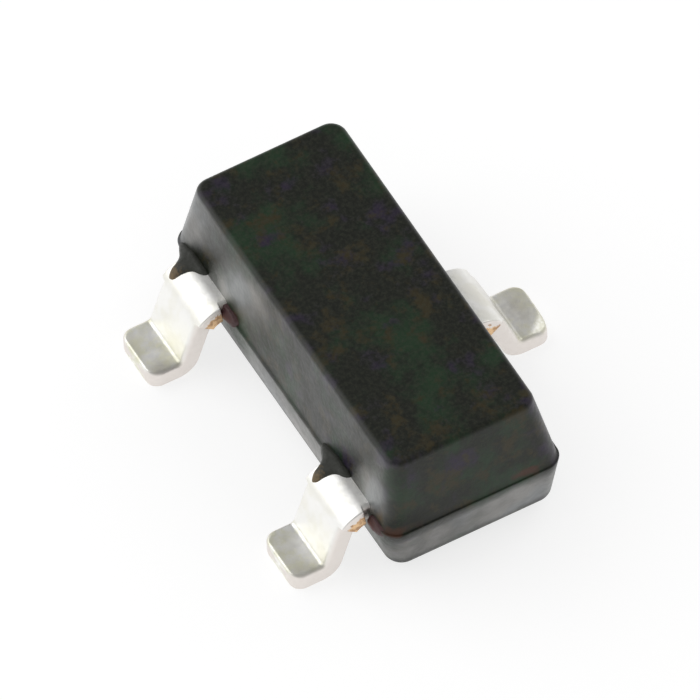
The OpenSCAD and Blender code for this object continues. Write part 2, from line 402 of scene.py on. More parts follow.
@dataclass(frozen=True)
class MouldedResin:
    """Black filled epoxy with the fine matt grain of its mould.

    Attributes:
        dark, clouds: Its colour, and the greenish, purplish and brownish clouds in it.
        filler, filler_share: The colour of the filler's grains at the surface, and its most share.
        painted_sheen, painted_sheen_size: The two colours of the pale sheen painted on where the film is
            thick, which stands in for the walls' reflections, and its patches' size.
        painted_sheen_from: The share of film at which the painted sheen starts to show.
        stain: The colour of the reddish-brown darkening along the parting line, which beside the
        anode leads paints their shade and the copper's reflection.
        grain, grain_depth: The size and depth of the mould's grain.
        roughness: The least and the most roughness.
        ior: Index of refraction of the resin.
        film_ior, film_roughness: Index of refraction and roughness of the glossy film on its walls.
    """

    dark: Colour = (0.0026, 0.0042, 0.0006)
    clouds: tuple[Cloud, ...] = (
        Cloud((0.0060, 0.0290, 0.0080), 0.40 * MM, (0.46, 0.66)),
        Cloud((0.0170, 0.0085, 0.0310), 0.24 * MM, (0.53, 0.68)),
        Cloud((0.0290, 0.0210, 0.0035), 0.16 * MM, (0.51, 0.68)),
    )
    filler: Colour = (0.034, 0.038, 0.020)
    filler_share: float = 0.36
    # The pale sheen is painted into the colour where the film is thick; it stands in for the walls'
    # reflections.
    painted_sheen: tuple[Colour, Colour] = ((0.150, 0.162, 0.168), (0.172, 0.163, 0.150))
    painted_sheen_size: float = 0.56 * MM
    painted_sheen_from: float = 0.3
    # Painted reddish shade along the parting line; beside the anode leads it stands in for their shade and
    # the copper's reflection.
    stain: Colour = (0.054, 0.019, 0.007)
    grain: float = 0.030 * MM
    grain_depth: float = 0.0016 * MM
    roughness: Pair = (0.36, 0.50)
    ior: float = 1.38
    film_ior: float = 1.80
    film_roughness: float = 0.40

    def material(self) -> bpy.types.Material:
        """Builds the finish.

        Clouds tint the resin, the brightest of a fine noise are filler grains, and two noises of
        different size give the grain. The point value "gloss" is the share of the glossy film that the
        mould's polished walls left on it; where the film is thick a pale sheen is painted into the colour,
        which stands in for the walls' reflections, and its dull spots paint shade. The second point
        value is the share of the painted reddish shade along the parting line.

        Returns:
            The material.
        """
        sketch = NodeSketch("black moulding resin")
        tone = self.dark
        for cloud in self.clouds:
            tone = sketch.blend(cloud.share(sketch), tone, cloud.tint)
        speck = sketch.between(sketch.noise(self.grain, 4.0, 0.75), 0.42, 0.66, 0.0, self.filler_share)
        tone = sketch.blend(speck, tone, self.filler)
        grain = sketch.noise(self.grain, 3.0, 0.55)
        coarse = sketch.noise(self.grain * 4)
        normal = sketch.grained(coarse, grain, self.grain_depth)
        uneven = sketch.between(coarse, *NOISE_REACH, 0.8, 1.0)
        film = sketch.maths("MULTIPLY", sketch.kept("gloss"), uneven)
        # Painted pale sheen: the colour is lightened where the film is thick, standing in for the walls'
        # reflections.
        painted_sheen = sketch.blend(sketch.between(sketch.noise(self.painted_sheen_size), 0.42, 0.58), *self.painted_sheen)
        tone = sketch.blend(sketch.between(film, self.painted_sheen_from, 1.0), tone, painted_sheen)
        # Painted reddish shade along the parting line; beside the anode leads it stands in for their shade
        # and the copper's reflection.
        stain = sketch.between(sketch.ragged(sketch.kept("stain"), coarse, 0.2), 0.2, 0.8)
        return sketch.finish({
            "Base Color": sketch.blend(stain, tone, self.stain),
            "Roughness": sketch.spread(grain, *self.roughness),
            "IOR": self.ior,
            "Normal": normal,
            "Coat Weight": film,
            "Coat Roughness": self.film_roughness,
            "Coat IOR": self.film_ior,
            "Coat Normal": normal,
        })


@dataclass(frozen=True)
class FlashResinAndShade:
    """The body's resin where it leaked out thin: near black at the wall, brown at its tip. Its
    near-black part, laid where a lead's root is in shade, is a dark sheet that paints that shade.

    Attributes:
        name: The material's name.
        thick, thin: Its colours where it is thick and where it is thin.
        grain, grain_depth: The size and depth of its grain.
        roughness: Its least and most roughness.
        ior: Its index of refraction.
    """

    name: str = "resin flash and painted shade"
    thick: Colour = (0.032, 0.034, 0.027)
    thin: Colour = (0.190, 0.135, 0.070)
    grain: float = 0.025 * MM
    grain_depth: float = 0.0030 * MM
    roughness: Pair = (0.42, 0.60)
    ior: float = 1.47

    def material(self) -> bpy.types.Material:
        """Builds the finish. The point value "thinness" runs from 0 at the wall to 1 at the tip.

        Returns:
            The material.
        """
        sketch = NodeSketch(self.name)
        grain = sketch.noise(self.grain, 3.0, 0.6)
        thinness = sketch.ragged(sketch.kept("thinness"), grain, 0.18)
        return sketch.finish({
            "Base Color": sketch.blend(sketch.between(thinness, 0.45, 1.0), self.thick, self.thin),
            "Roughness": sketch.spread(grain, *self.roughness),
            "IOR": self.ior,
            "Normal": sketch.relief(grain, self.grain_depth),
        })


@dataclass(frozen=True)
class TinPlate:
    """Satin tin plate on copper, with bare copper where the tie bar was cut off.

    Attributes:
        tin, tin_dull: The plate's colour, and its colour in duller patches.
        patina, foot_top: The clouds that handling has left on the feet, and the height of their tops.
        sheared: The plate's colour on the strip's sheared sides.
        dark_patch: The plate's colour where it is darkened: painted shade on the cathode lead, which the
        lamps light less than the anode leads, and darker patches on the anode leads' feet.
        copper, copper_dull: The colours of fresh and of dulled copper.
        grain, grain_depth: The size and depth of the plate's grain.
        roughness: The plate's least and most roughness.
    """

    tin: Colour = (0.965, 0.960, 0.935)
    tin_dull: Colour = (0.92, 0.91, 0.85)
    patina: Cloud = Cloud((0.78, 0.77, 0.62), 0.14 * MM, (0.38, 0.66))
    foot_top: float = 0.13 * MM
    sheared: Colour = (0.82, 0.77, 0.73)
    dark_patch: Colour = (0.44, 0.41, 0.35)
    copper: Colour = (0.82, 0.56, 0.32)
    copper_dull: Colour = (0.50, 0.31, 0.18)
    grain: float = 0.035 * MM
    grain_depth: float = 0.0005 * MM
    roughness: Pair = (0.32, 0.44)

    def material(self) -> bpy.types.Material:
        """Builds the finish. The point value "bare" is 1 where the copper shows, "sheared" is 1 on the
        strip's sides, and the third point value is 1 where the plate is darkened: painted shade on the
        cathode lead, and darker patches on the anode leads' feet.

        Returns:
            The material.
        """
        sketch = NodeSketch("satin tin plate")
        grain = sketch.noise(self.grain, 3.0, 0.6)
        patch = sketch.noise(self.grain * 5)
        bare = sketch.between(sketch.ragged(sketch.kept("bare"), grain, 0.25), 0.45, 0.60)
        tin = sketch.blend(sketch.between(patch, 0.42, 0.62), self.tin, self.tin_dull)
        on_foot = sketch.between(sketch.height(), self.foot_top, 1.3 * self.foot_top, 1.0, 0.0)
        handled = sketch.maths("MULTIPLY", on_foot, self.patina.share(sketch))
        tin = sketch.blend(handled, tin, self.patina.tint)
        # Darkened plate: painted shade on the cathode lead, darker patches on the anode leads' feet.
        dulled = sketch.maths("MULTIPLY", sketch.kept("dulled"), sketch.spread(patch, 0.75, 1.0))
        tin = sketch.blend(dulled, tin, self.dark_patch)
        tin = sketch.blend(sketch.kept("sheared"), tin, self.sheared)
        copper = sketch.blend(sketch.between(grain, 0.42, 0.62), self.copper, self.copper_dull)
        return sketch.finish({
            "Base Color": sketch.blend(bare, tin, copper),
            "Metallic": 1.0,
            "Roughness": sketch.spread(grain, *self.roughness),
            "Normal": sketch.grained(patch, grain, self.grain_depth),
        })


@dataclass(frozen=True)
class Silicon:
    """A sawn silicon chip with a bright aluminium contact on its top.

    Attributes:
        contact_from: The height at which the contact starts.
        silicon, contact: The chip's and the contact's colours.
        saw_mark, saw_depth: The size and depth of the saw's marks.
        roughness: Its least and most roughness.
    """

    contact_from: float
    silicon: Colour = (0.10, 0.11, 0.13)
    contact: Colour = (0.80, 0.80, 0.80)
    saw_mark: float = 0.012 * MM
    saw_depth: float = 0.0006 * MM
    roughness: Pair = (0.18, 0.40)

    def material(self) -> bpy.types.Material:
        """Builds the finish. The contact is what lies above the chip's top.

        Returns:
            The material.
        """
        sketch = NodeSketch("silicon and contact")
        on_contact = sketch.maths("GREATER_THAN", sketch.height(), self.contact_from)
        marks = sketch.noise(self.saw_mark)
        return sketch.finish({
            "Base Color": sketch.blend(on_contact, self.silicon, self.contact),
            "Metallic": 1.0,
            "Roughness": sketch.between(marks, *NOISE_REACH, *self.roughness),
            "Normal": sketch.relief(marks, self.saw_depth),
        })


@dataclass(frozen=True)
class PlainMetal:
    """A bare metal with a fine uneven surface.

    Attributes:
        name: The material's name.
        bright, dull: Its colours where it is bright and where it is dull.
        grain, grain_depth: The size and depth of its grain.
        roughness: Its least and most roughness.
    """

    name: str
    bright: Colour
    dull: Colour
    grain: float
    grain_depth: float
    roughness: Pair

    def material(self) -> bpy.types.Material:
        """Builds the finish.

        Returns:
            The material.
        """
        sketch = NodeSketch(self.name)
        grain = sketch.noise(self.grain)
        return sketch.finish({
            "Base Color": sketch.blend(sketch.between(grain, 0.4, 0.6), self.bright, self.dull),
            "Metallic": 1.0,
            "Roughness": sketch.spread(grain, *self.roughness),
            "Normal": sketch.relief(grain, self.grain_depth),
        })


# Dark reddish sliver beside each anode lead's +X side: its colour paints the shade and the copper's
# reflection on the wall there.
REDDISH_SHADE_SLIVER = FlashResinAndShade(
    name="reddish sliver and painted shade",
    thick=(0.066, 0.027, 0.028),
    thin=(0.110, 0.044, 0.044),
)
DIE_SOLDER = PlainMetal(
    name="die solder",
    bright=(0.62, 0.62, 0.60),
    dull=(0.45, 0.45, 0.44),
    grain=0.02 * MM,
    grain_depth=0.002 * MM,
    roughness=(0.35, 0.55),
)
GOLD = PlainMetal(
    name="drawn gold",
    bright=(1.00, 0.72, 0.30),
    dull=(0.90, 0.60, 0.22),
    grain=0.01 * MM,
    grain_depth=0.0003 * MM,
    roughness=(0.15, 0.28),
)


@dataclass(frozen=True)
class Spot:
    """A soft spot on a piece, where a value is higher or lower than round it, in millimetres.

    Attributes:
        place: Its middle.
        reach: How far it reaches along X, Y and Z.
        amount: What it adds at its middle.
    """

    place: Place
    reach: Place
    amount: float

    def share(self, points: np.ndarray) -> np.ndarray:
        """What it adds at each point: amount exp(-s), with s the sum of ((point - place) / reach)^2."""
        away = (points / MM - np.array(self.place)) / np.array(self.reach)
        return self.amount * np.exp(-(away ** 2).sum(axis=-1))


@dataclass
class MouldedBody:
    """The black body: two drafted halves that meet on a parting line, and the resin flash, whose dark
    parts also paint the shade round the leads' roots.

    Attributes:
        length, width: Size of the lower half at the parting line.
        top, underside, parting: Heights of the flat faces and of the parting line.
        step: How far the upper half stands in at the parting line.
        upper_draft, lower_draft: Draft of the walls, in degrees.
        top_rim, under_rim: Radii of the rims round the flat faces.
        corner: Radius of the upright corners.
        lip, lip_wander: Radius of the lower half's edge at the parting line, and how far it wanders.
        spacing: Distance between points along the body.
        corner_steps, wall_steps, rim_steps: Steps round each corner, up each wall, round each rim.
        lip_steps: Steps round the lip, and round the fillet above it.
        face_rings: Sizes of the rings on the flat faces, as shares of the face's own.
        side_gloss, end_gloss: Gloss of the upper and the lower walls beside the anode leads and at
            the ends.
        back_gloss: Gloss of the wall beside the cathode lead.
        end_fade, end_least: How far below the parting line the lower end walls come to their full gloss,
            and the share of it that they have at the line; the lower gloss there paints shade below the
            line.
        gloss_and_painted_light, reddish_shade_spots: Spots that are glossier or duller, which also paint
            the pale sheen where they are bright and shade where they are dull, and spots of the painted
            reddish shade.
    """

    length: float = 2.90 * MM
    width: float = BODY_WIDTH
    top: float = 1.05 * MM
    underside: float = 0.07 * MM
    parting: float = 0.48 * MM
    step: float = 0.015 * MM
    upper_draft: float = 10.0
    lower_draft: float = 8.0
    top_rim: float = 0.045 * MM
    under_rim: float = 0.09 * MM
    corner: float = 0.13 * MM
    lip: float = 0.006 * MM
    lip_wander: float = 0.003 * MM
    spacing: float = 0.02 * MM
    corner_steps: int = 14
    wall_steps: int = 14
    rim_steps: int = 12
    lip_steps: tuple[int, int] = (5, 4)
    face_rings: tuple[float, ...] = (0.985, 0.94, 0.85, 0.7, 0.5, 0.25)
    side_gloss: Pair = (0.44, 0.60)
    end_gloss: Pair = (0.10, 0.72)
    back_gloss: float = 0.4
    end_fade: float = 0.10 * MM
    end_least: float = 0.25
    # Spots of more or less film. The bright ones also paint the pale sheen where the walls show reflections;
    # the dull ones paint shade above and beside the leads and on the lower wall.
    gloss_and_painted_light: tuple[Spot, ...] = (
        Spot((-1.34, -0.60, 0.80), (0.24, 0.20, 0.40), 0.60),
        Spot((-0.62, -0.60, 0.75), (0.15, 0.20, 0.14), 0.65),
        Spot((-0.43, -0.60, 0.86), (0.13, 0.20, 0.10), 0.50),
        Spot((-0.79, -0.62, 0.60), (0.08, 0.20, 0.08), 0.50),
        Spot((1.18, -0.60, 0.64), (0.14, 0.20, 0.15), 0.75),
        Spot((-1.05, -0.62, 0.57), (0.15, 0.20, 0.13), -0.70),
        Spot((-1.27, -0.62, 0.46), (0.10, 0.20, 0.08), -0.50),
        Spot((0.84, -0.62, 0.57), (0.17, 0.20, 0.13), -0.65),
        Spot((-0.15, -0.60, 0.64), (0.25, 0.20, 0.12), -0.10),
        Spot((-0.57, -0.63, 0.49), (0.12, 0.20, 0.07), -0.40),
        Spot((-0.65, -0.63, 0.32), (0.14, 0.20, 0.12), -0.80),
        Spot((1.22, -0.63, 0.38), (0.14, 0.20, 0.09), -0.60),
        Spot((1.36, -0.62, 0.50), (0.10, 0.20, 0.11), -0.50),
        Spot((0.10, -0.62, 0.14), (0.80, 0.20, 0.15), 0.40),
        Spot((1.44, 0.27, 0.28), (0.20, 0.17, 0.14), 0.85),
    )
    # Spots of painted reddish shade along the parting line, most of them beside the anode leads' +X sides.
    reddish_shade_spots: tuple[Spot, ...] = (
        Spot((1.27, -0.64, 0.43), (0.09, 0.10, 0.07), 0.7),
        Spot((1.40, -0.61, 0.50), (0.09, 0.10, 0.05), 0.8),
        Spot((-0.65, -0.64, 0.50), (0.10, 0.10, 0.06), 0.7),
        Spot((1.44, 0.39, 0.52), (0.10, 0.12, 0.035), 0.9),
        Spot((1.45, -0.15, 0.50), (0.10, 0.40, 0.025), 0.4),
    )

    def _half(self, height: float, draft: float, rim: float, start: float) -> np.ndarray:
        """Half of the section, from the parting line to the flat face.

        The wall is inset = z tan(draft). The rim's arc has its centre at
        (-(height - rim) tan(draft) - rim / cos(draft), height - rim) and runs from the draft's angle
        to 90 degrees, so that it meets the wall and the face without a corner.

        Args:
            height: Height of the half.
            draft: Its draft, in degrees.
            rim: Radius of its rim.
            start: Height at which the wall starts.

        Returns:
            Rows of inset, how much smaller the corner's radius is, and height, shaped (rows, 3).
        """
        slope = math.tan(math.radians(draft))
        centre = (-(height - rim) * slope - rim / math.cos(math.radians(draft)), height - rim)
        turn = arc(centre, rim, draft, 90, self.rim_steps)
        z = np.linspace(start, turn[0, 1], self.wall_steps + 1)[:-1]
        wall = np.column_stack([z * slope, np.zeros_like(z), z])
        wall_inset = turn[0, 1] * slope
        rim_rows = np.column_stack([-turn[:, 0], -turn[:, 0] - wall_inset, turn[:, 1]])
        return np.vstack([wall, rim_rows])

    def _section(self) -> np.ndarray:
        """The whole section from the underside's edge to the top face's edge.

        Between the halves lie the lower half's round lip, (lip - lip cos a, lip sin a - lip), and the
        small fillet at the foot of the upper wall.

        Returns:
            Rows of inset, how much smaller the corner's radius is, and height, shaped (rows, 3).
        """
        lower = self._half(self.parting - self.underside, self.lower_draft, self.under_rim, self.lip)
        upper = self._half(self.top - self.parting, self.upper_draft, self.top_rim, self.lip)
        lip = arc((self.lip, -self.lip), self.lip, 180, 90, self.lip_steps[0])
        foot = arc((self.step - self.lip, self.lip), self.lip, 270, 360, self.lip_steps[1])[:-1]
        down = lower[::-1] * [1, 1, -1] + [0, 0, self.parting]
        edge = np.vstack([lip, foot])
        edge = np.column_stack([edge[:, 0], edge[:, 0], edge[:, 1] + self.parting])
        up = upper + [self.step, self.step, self.parting]
        return np.vstack([down[:-1], edge, up])

    def skin(self) -> Skin:
        """Builds the body's skin: the section carried round the rectangle, and closed by rings that
        shrink to a pole on the two flat faces.

        The wall wanders inwards at the lip, and less with the height h above or below it, by the share
        exp(-(h / (2 lip))^2).

        Returns:
            The skin, with the point values for the gloss and for the painted reddish shade.
        """
        along, across = (round(side / self.spacing) - 2 for side in (self.length, self.width))
        fx, fy, ux, uy = round_rectangle(self.corner_steps, (along, across))
        inset, smaller, z = self._section().T[:, :, None]
        near_lip = np.exp(-(((z - self.parting) / (2 * self.lip)) ** 2))
        shift = inset + near_lip * self.lip_wander * (0.5 + 0.5 * wander(fx.size, waves=90, seed=7))
        r = self.corner - smaller
        x = fx * (self.length / 2 - shift - r) + r * ux
        y = fy * (self.width / 2 - shift - r) + r * uy
        rings = np.stack([x, y, np.broadcast_to(z, x.shape)], axis=-1)
        shrink = np.array(self.face_rings)[:, None, None] * [1, 1, 0] + [0, 0, 1]
        rings = np.concatenate([rings[:1] * shrink[::-1], rings, rings[-1:] * shrink])
        # Share of the painted reddish shade.
        stain = np.clip(sum(spot.share(rings) for spot in self.reddish_shade_spots), 0, 1)
        return Skin(rings, {"gloss": self._gloss(rings, ux, uy), "stain": stain})

    def _gloss(self, rings: np.ndarray, ux: np.ndarray, uy: np.ndarray) -> np.ndarray:
        """Works out the walls' gloss, which also sets where the pale sheen is painted. The flat faces have
        none.

        A wall counts by the square of its direction's share, so that the corners blend. The spots are
        added, and all of it fades out over the rims.

        Args:
            rings: The body's points.
            ux: Where each column faces, along the body.
            uy: Where each column faces, across the body.

        Returns:
            The gloss at each point, shaped (rows, columns).
        """
        z = rings[..., 2]
        below = self.parting - z
        side = np.where(below < 0, *self.side_gloss)
        # Painted shade: the lower end walls are duller, and so darker, just below the parting line.
        full = np.clip(below / self.end_fade, self.end_least, 1)
        end = np.where(below < 0, self.end_gloss[0], self.end_gloss[1] * full)
        back = self.back_gloss * np.clip(uy, 0, 1) ** 2
        gloss = side * np.clip(-uy, 0, 1) ** 2 + end * ux ** 2 + back
        # The spots' bright and dull places also paint sheen and shade.
        gloss = gloss + sum(spot.share(rings) for spot in self.gloss_and_painted_light)
        below_rim = np.clip(2 * (self.top - z) / self.top_rim, 0, 1)
        above_rim = np.clip((z - self.underside) / self.under_rim - 0.3, 0, 1)
        return np.clip(gloss, 0, 1) * below_rim * above_rim

    def build(self, leaks: list[Skin]) -> bpy.types.Object:
        """Builds and dresses the body.

        Args:
            leaks: The skins of the resin that leaked out along the leads, which also paint the shade
            round their roots.

        Returns:
            The body's object.
        """
        # The flash and the sliver also paint the shade round the leads' roots.
        finishes = [MouldedResin().material(), FlashResinAndShade().material(), REDDISH_SHADE_SLIVER.material()]
        skins = [self.skin(), *leaks]
        return Piece("moulded_body_skin", skins, finishes, "moulded_body", "moulding_compound").build()


@dataclass
class ResinLeak:
    """Resin that leaked out of the mould along an anode lead, and set as a flat pool. Where it lies
    in shade round the lead's root, its dark colour paints that shade.

    Places are given from the lead's -X side, onto the lead, and from the body's wall, outwards.

    Attributes:
        side: Which anode lead it lies at.
        outline: Corners of the pool, seen from above, in millimetres.
        low, high: Heights of its underside, and of its upper side at its outer edge.
        climb: How much higher it is at the wall.
        droop: How far it droops at its tip, over the knee.
        side_fall: How much lower it is beside the lead, where it starts.
        fullness: Power of the cosine that rounds its edge; a low one makes it full.
        finish: Index of the body's finish that it wears.
        lead_x, lead_width: Place and width of the lead.
        wall: How far the body's wall is from its middle.
        ragged: How ragged its edge is, as a share of its size.
        columns, rows: Points round its edge, and rings from its lower to its upper pole.
    """

    side: Side
    outline: tuple[Pair, ...]
    low: float
    high: float
    climb: float
    droop: float = 0.0
    side_fall: float = 0.0
    fullness: float = 0.35
    finish: int = 1
    lead_x: float = ANODE_X
    lead_width: float = LEAD_WIDTH
    wall: float = BODY_WIDTH / 2
    ragged: float = 0.03
    columns: int = 160
    rows: int = 40

    def _edge(self) -> np.ndarray:
        """The pool from above.

        The outline is sampled evenly, and each point becomes the mean of its neighbours over about a
        sixteenth of the whole, which rounds the corners. Then the edge wanders in and out.

        Returns:
            Points, shaped (columns, 2).
        """
        corners = np.array(self.outline) * MM
        closed = np.vstack([corners, corners[:1]])
        way = np.concatenate([[0], np.cumsum(np.linalg.norm(np.diff(closed, axis=0), axis=1))])
        t = np.linspace(0, way[-1], self.columns, endpoint=False)
        line = np.column_stack([np.interp(t, way, closed[:, k]) for k in (0, 1)])
        reach = self.columns // 32
        line = np.mean([np.roll(line, k, axis=0) for k in range(-reach, reach + 1)], axis=0)
        middle = line.mean(axis=0)
        swell = 1 + self.ragged * wander(self.columns, waves=24, seed=3 + self.side.value)
        return middle + (line - middle) * swell[:, None]

    def skin(self) -> Skin:
        """Builds the pool: its edge, scaled about its middle by cos(a)^fullness, at a height that runs
        as the sign of a times |sin a|^0.7 from the underside to the upper side, with a from -88 to 88
        degrees.

        The upper side is at high + climb (1 - out)^2 - droop out^4 - side_fall beside. Here out is the
        share of the way from the wall to the tip, and beside that from the lead to the pool's far side.

        Returns:
            The skin, with the point value "thinness".
        """
        edge = self._edge()
        middle = edge.mean(axis=0)
        a = np.radians(np.linspace(-88, 88, self.rows))[:, None]
        plan = middle + (edge - middle) * (np.cos(a) ** self.fullness)[:, :, None]
        out = np.clip(plan[..., 1] / edge[:, 1].max(), 0, 1)
        beside = np.clip(plan[..., 0] / min(edge[:, 0].min(), -HAIR), 0, 1)
        high = self.high + self.climb * (1 - out) ** 2 - self.droop * out ** 4 - self.side_fall * beside
        height = 0.5 + 0.5 * np.sign(a) * np.abs(np.sin(a)) ** 0.7
        z = self.low + (high - self.low) * height
        x = self.side.value * self.lead_x - self.lead_width / 2 + plan[..., 0]
        y = -self.wall - plan[..., 1]
        return Skin(np.stack([x, y, z], axis=-1), {"thinness": out}, finish=self.finish)


@dataclass
class LeakedResin:
    """The resin that leaked out along one anode lead.

    It is a flash on the lead's -X side, which laps over its shoulder along the wall, and a reddish
    sliver on its +X side, between the wall and the cut tie bar. The flash is real at its brown tip;
    its near-black lap and wing are a dark sheet laid where the lead's root and the wall are in shade.
    The sliver's dark reddish colour paints the shade and the copper's reflection on the wall beside
    the lead. Outlines are in millimetres.

    Attributes:
        side: Which anode lead it lies at.
        wing, lap: How far the flash runs along the wall, and its corners over the lead, from above.
        sliver: Corners of the sliver, seen from above.
        sliver_low, sliver_height: Height of its underside, and how high it is at its outer edge.
    """

    side: Side
    wing: float
    sliver: tuple[Pair, ...]
    sliver_low: float
    sliver_height: float = 0.065 * MM
    lap: tuple[Pair, ...] = (
        (0.20, -0.05), (0.18, 0.006), (0.11, 0.045), (0.085, 0.125), (0.06, 0.185), (0.01, 0.175),
        (-0.02, 0.10),
    )

    def skins(self) -> list[Skin]:
        """Builds the flash and the sliver.

        Returns:
            The two skins.
        """
        feather = ((0.35, 0.050), (0.7, 0.018), (1, -0.004), (1, -0.05))
        wing = [(-share * self.wing, out) for share, out in feather]
        flash = ResinLeak(
            self.side,
            (*self.lap, *wing),
            low=0.405 * MM,
            high=0.553 * MM,
            climb=0.020 * MM,
            droop=0.034 * MM,
            side_fall=0.050 * MM,
        )
        sliver = ResinLeak(
            self.side,
            self.sliver,
            low=self.sliver_low,
            high=self.sliver_low + self.sliver_height,
            climb=0.035 * MM,
            fullness=0.6,
            finish=2,
        )
        return [flash.skin(), sliver.skin()]


# Each anode lead's flash and sliver; both lie partly where the wall and the lead's root are in shade, and
# their dark colours paint it.
LEAKS = (
    LeakedResin(
        Side.FAR,
        wing=0.175,
        sliver=((0.40, -0.05), (0.40, 0.034), (0.48, 0.030), (0.58, 0.012), (0.62, -0.05)),
        sliver_low=0.435 * MM,
    ),
    LeakedResin(
        Side.NEAR,
        wing=0.20,
        sliver=((0.46, -0.05), (0.46, 0.020), (0.52, 0.022), (0.60, 0.006), (0.66, -0.05)),
        sliver_low=0.400 * MM,
    ),
)


@dataclass
class FormedLead:
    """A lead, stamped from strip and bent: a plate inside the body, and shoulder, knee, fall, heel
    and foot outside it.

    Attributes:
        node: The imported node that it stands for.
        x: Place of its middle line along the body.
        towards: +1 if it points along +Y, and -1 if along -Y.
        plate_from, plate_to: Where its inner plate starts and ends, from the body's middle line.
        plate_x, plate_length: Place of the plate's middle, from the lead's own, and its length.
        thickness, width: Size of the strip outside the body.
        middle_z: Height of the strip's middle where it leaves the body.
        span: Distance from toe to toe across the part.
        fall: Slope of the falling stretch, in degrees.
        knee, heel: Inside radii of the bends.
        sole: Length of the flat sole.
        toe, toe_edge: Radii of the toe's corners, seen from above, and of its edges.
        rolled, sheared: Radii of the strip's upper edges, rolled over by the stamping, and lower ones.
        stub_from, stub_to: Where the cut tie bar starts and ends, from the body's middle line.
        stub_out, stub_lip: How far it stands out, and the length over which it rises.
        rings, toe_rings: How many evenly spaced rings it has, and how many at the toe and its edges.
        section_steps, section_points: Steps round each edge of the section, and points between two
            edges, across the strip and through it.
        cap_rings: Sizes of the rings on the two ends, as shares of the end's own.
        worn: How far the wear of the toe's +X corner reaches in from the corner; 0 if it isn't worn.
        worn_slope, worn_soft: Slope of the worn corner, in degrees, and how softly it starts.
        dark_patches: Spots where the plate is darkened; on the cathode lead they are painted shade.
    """

    node: str
    x: float
    towards: int
    plate_from: float
    plate_to: float
    plate_x: float
    plate_length: float
    thickness: float = 0.13 * MM
    width: float = LEAD_WIDTH
    middle_z: float = 0.48 * MM
    span: float = 2.40 * MM
    fall: float = 70.0
    knee: float = 0.10 * MM
    heel: float = 0.03 * MM
    sole: float = 0.20 * MM
    toe: float = 0.09 * MM
    toe_edge: float = 0.018 * MM
    rolled: float = 0.034 * MM
    sheared: float = 0.010 * MM
    stub_from: float = 0.68 * MM
    stub_to: float = 0.80 * MM
    stub_out: float = 0.03 * MM
    stub_lip: float = 0.006 * MM
    rings: int = 190
    toe_rings: tuple[int, int] = (15, 8)
    section_steps: int = 7
    section_points: tuple[int, int] = (28, 5)
    cap_rings: tuple[float, ...] = (0.96, 0.85, 0.6, 0.3)
    worn: float = 0.0
    worn_slope: float = 22.0
    worn_soft: float = 0.03 * MM
    dark_patches: tuple[Spot, ...] = ()

    def _walk(self, way: np.ndarray) -> tuple[np.ndarray, np.ndarray, np.ndarray]:
        """Follows the strip's middle line from the plate's inner edge.

        A level stretch, the knee's arc, the falling stretch, the heel's arc and the sole each add what
        the way covers of them. The arcs have the radii r1 and r2, and the falling stretch makes up the
        drop that they leave over: (drop - (r1 + r2) (1 - cos fall)) / sin fall.

        Args:
            way: Distances along the line.

        Returns:
            At each, the distance from the body's middle line, the height, and the slope in radians.
        """
        fall = math.radians(self.fall)
        r1, r2 = self.knee + self.thickness / 2, self.heel + self.thickness / 2
        drop = self.middle_z - self.thickness / 2
        straight = (drop - (r1 + r2) * (1 - math.cos(fall))) / math.sin(fall)
        bends = (r1 + r2) * math.sin(fall) + straight * math.cos(fall)
        level = self.span / 2 - self.sole - bends - self.plate_from
        lengths = [level, r1 * fall, straight, r2 * fall, self.sole]
        starts = np.concatenate([[0], np.cumsum(lengths)[:-1]])
        on_level, on_knee, on_fall, on_heel, on_sole = (
            np.clip(way - start, 0, length) for start, length in zip(starts, lengths)
        )
        down, back = on_knee / r1, on_heel / r2
        y = self.plate_from + on_level + r1 * np.sin(down) + on_fall * math.cos(fall)
        y = y + r2 * (math.sin(fall) - np.sin(fall - back)) + on_sole
        z = self.middle_z - r1 * (1 - np.cos(down)) - on_fall * math.sin(fall)
        z = z - r2 * (np.cos(fall - back) - math.cos(fall))
        return y, z, down - back

    def _stations(self) -> tuple[np.ndarray, np.ndarray]:
        """Chooses the places along the strip that get a ring of points.

        They are evenly spaced, with more at the tie bar's cut ends and at the toe, and two that are a
        hair apart at the plate's end. The way to a place is read from a fine table of the middle line.

        Returns:
            The distances along the line, and each one's distance from the toe.
        """
        fine = np.linspace(0, 3 * self.span, 6001)
        line = self._walk(fine)[0]
        total = fine[np.argmax(line >= self.span / 2)]
        total = total - (self._walk(np.array([total]))[0][0] - self.span / 2)
        lip = self.stub_lip / 2
        stub = (self.stub_from - lip, self.stub_from + lip, self.stub_to - lip, self.stub_to + lip)
        at_special = np.interp((self.plate_to, *stub), line, fine)
        corners, edges = self.toe_rings
        way = np.concatenate([
            np.linspace(0, total, self.rings),
            at_special,
            at_special[:1] + HAIR,
            total - self.toe * (1 - np.sin(np.linspace(0, np.pi / 2, corners))),
            total - self.toe_edge * (1 - np.sin(np.linspace(0.2, np.pi / 2, edges))),
        ])
        way = np.unique(np.round(way, 10))
        return way, total - way

